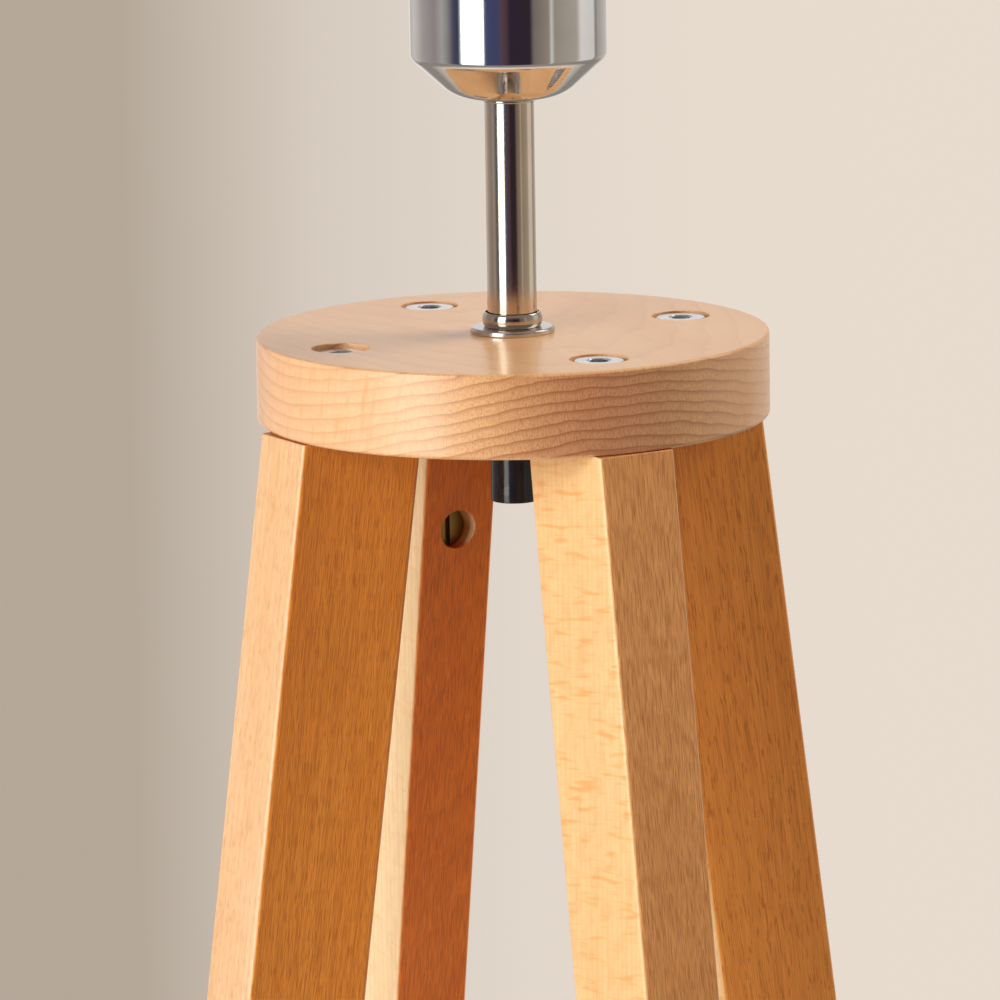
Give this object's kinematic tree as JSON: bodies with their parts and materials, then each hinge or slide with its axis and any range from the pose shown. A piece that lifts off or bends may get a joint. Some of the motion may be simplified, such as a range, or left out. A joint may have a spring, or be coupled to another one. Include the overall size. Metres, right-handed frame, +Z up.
{
  "type": "adjustable arm floor lamp",
  "caption": "Floor lamp with a sprung parallel arm and tilting dome shade on a chrome stem and cup, which swivel on a splayed wooden leg base.",
  "frame": {"origin": "on the floor, on the stem's axis", "axes": "+Z up the stem, +X the way the arm reaches, +Y across the arm; the legs stand on the diagonals"},
  "size_m": [0.5436, 0.3102, 1.6098],
  "materials": {
    "beech": "clear satin lacquer over steamed beech",
    "black_plastic": "moulded, glossy black",
    "zinc_steel": "bright zinc plate",
    "brass": "turned brass",
    "chrome": "polished chrome plate",
    "spring_steel": "bright drawn wire",
    "polished_aluminium": "spun, plated bright outside and white inside",
    "opal_glass": "opal white",
    "white_plastic": "moulded, glossy white"
  },
  "bodies": {
    "base": {"leg_front_left": "beech", "leg_front_right": "beech", "leg_back_left": "beech", "leg_back_right": "beech", "foot_glides": "black_plastic", "round_top": "beech", "leg_bolts": "zinc_steel", "barrel_nuts": "brass", "locating_dowels": "beech", "swivel_bush": "black_plastic", "stem_washer": "zinc_steel"},
    "turret": {"swivel_pin": "zinc_steel", "stem_tube": "chrome", "stem_collar": "chrome", "cup_neck_ring": "chrome", "cup_shell": "chrome", "cup_nut": "zinc_steel", "stem_head": "zinc_steel", "cup_lid": "chrome", "cable_grommet": "black_plastic", "pivot_bracket": "chrome", "bracket_screws": "zinc_steel", "base_pivot_bolts": "zinc_steel", "bracket_spring_pin": "zinc_steel"},
    "lower_arm": {"lower_bar": "chrome", "lower_spring_pin": "zinc_steel", "lower_spring_left": "spring_steel", "lower_spring_right": "spring_steel"},
    "lower_link": {"lower_link_bar": "chrome"},
    "elbow": {"elbow_plate_left": "chrome", "elbow_plate_right": "chrome", "elbow_bolts": "zinc_steel", "elbow_spring_pin": "zinc_steel"},
    "elbow_knob": {"elbow_knob": "black_plastic"},
    "upper_arm": {"upper_bar": "chrome", "upper_spring_pin": "zinc_steel", "upper_spring_left": "spring_steel", "upper_spring_right": "spring_steel"},
    "upper_link": {"upper_link_bar": "chrome"},
    "head": {"head_plate_left": "chrome", "head_plate_right": "chrome", "head_bolts": "zinc_steel"},
    "head_knob": {"head_knob": "black_plastic"},
    "shade_head": {"shade_knuckle": "chrome", "shade": "polished_aluminium", "neck_cap": "polished_aluminium", "nipple_nut": "zinc_steel", "lampholder": "black_plastic", "bulb_cap": "brass", "bulb_glass": "opal_glass", "switch_body": "black_plastic"},
    "switch_button": {"switch_button": "white_plastic"}
  },
  "joints": [
    {"name": "stem_swivel", "type": "hinge", "parent": "base", "child": "turret", "pos_m": [0, 0, 0.8], "axis": [0, 0, 1], "continuous": true},
    {"name": "lower_arm_hinge", "type": "hinge", "parent": "turret", "child": "lower_arm", "pos_m": [-0.014, 0, 0.9847], "axis": [0, 1, 0], "range_deg": [-25, 45], "deforming": ["lower_spring_left", "lower_spring_right"]},
    {"name": "lower_link_hinge", "type": "hinge", "parent": "turret", "child": "lower_link", "pos_m": [0.014, 0, 0.9847], "axis": [0, 1, 0], "range_deg": [-25, 45]},
    {"name": "elbow_hinge", "type": "hinge", "parent": "lower_arm", "child": "elbow", "pos_m": [-0.15081, 0, 1.36058], "axis": [0, 1, 0], "range_deg": [-45, 25]},
    {"name": "elbow_knob_turn", "type": "hinge", "parent": "elbow", "child": "elbow_knob", "pos_m": [-0.15081, 0, 1.36058], "axis": [0, 1, 0], "continuous": true},
    {"name": "upper_arm_hinge", "type": "hinge", "parent": "elbow", "child": "upper_arm", "pos_m": [-0.12681, 0, 1.38658], "axis": [0, 1, 0], "range_deg": [-20, 55], "deforming": ["upper_spring_left", "upper_spring_right"]},
    {"name": "upper_link_hinge", "type": "hinge", "parent": "elbow", "child": "upper_link", "pos_m": [-0.14081, 0, 1.41083], "axis": [0, 1, 0], "range_deg": [-20, 55]},
    {"name": "head_hinge", "type": "hinge", "parent": "upper_arm", "child": "head", "pos_m": [0.20228, 0, 1.57658], "axis": [0, 1, 0], "range_deg": [-55, 20]},
    {"name": "head_knob_turn", "type": "hinge", "parent": "head", "child": "head_knob", "pos_m": [0.23628, 0, 1.57058], "axis": [0, 1, 0], "continuous": true},
    {"name": "shade_tilt", "type": "hinge", "parent": "head", "child": "shade_head", "pos_m": [0.23628, 0, 1.57058], "axis": [0, 1, 0], "range_deg": [-75, 30]},
    {"name": "switch_press", "type": "slide", "parent": "shade_head", "child": "switch_button", "axis": [0.9659, 0, 0.2588], "range_m": [0, 0.0025], "stiffness_N_per_m": 400, "springref_m": -0.001}
  ],
  "couplings": [
    {"joint": "lower_link_hinge", "follows": "lower_arm_hinge", "ratio": 1},
    {"joint": "elbow_hinge", "follows": "lower_arm_hinge", "ratio": -1},
    {"joint": "upper_link_hinge", "follows": "upper_arm_hinge", "ratio": 1},
    {"joint": "head_hinge", "follows": "upper_arm_hinge", "ratio": -1}
  ]
}
